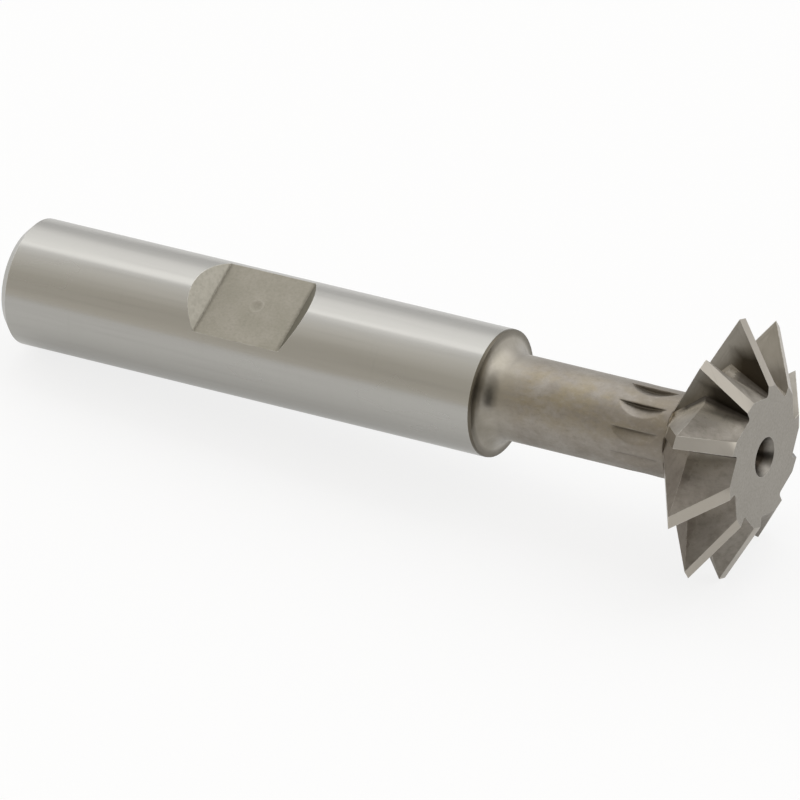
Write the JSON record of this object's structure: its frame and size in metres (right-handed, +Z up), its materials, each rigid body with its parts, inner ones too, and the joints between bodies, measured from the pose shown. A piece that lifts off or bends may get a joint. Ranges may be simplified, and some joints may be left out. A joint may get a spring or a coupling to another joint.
{
  "type": "double-angle milling cutter",
  "caption": "Double-angle milling cutter: a toothed double cone on a narrow neck and a straight shank with a clamping flat, for milling angled slots, notches and dovetails.",
  "frame": {"origin": "centre of the bounding box seen from above, at the level of the surface the cutter lies on", "axes": "+X runs from the rear end of the shank to the nose of the head, seen from above; +Z is up; the cutter lies at rest on its rear rim and two neighbouring tooth points, so its axis rises by about 4.7 degrees towards the nose"},
  "size_m": [0.062, 0.0198, 0.019],
  "materials": {
    "double_angle_cutter": "ground tool steel, satin"
  },
  "bodies": {
    "root": {"double_angle_cutter": "double_angle_cutter"}
  },
  "joints": []
}
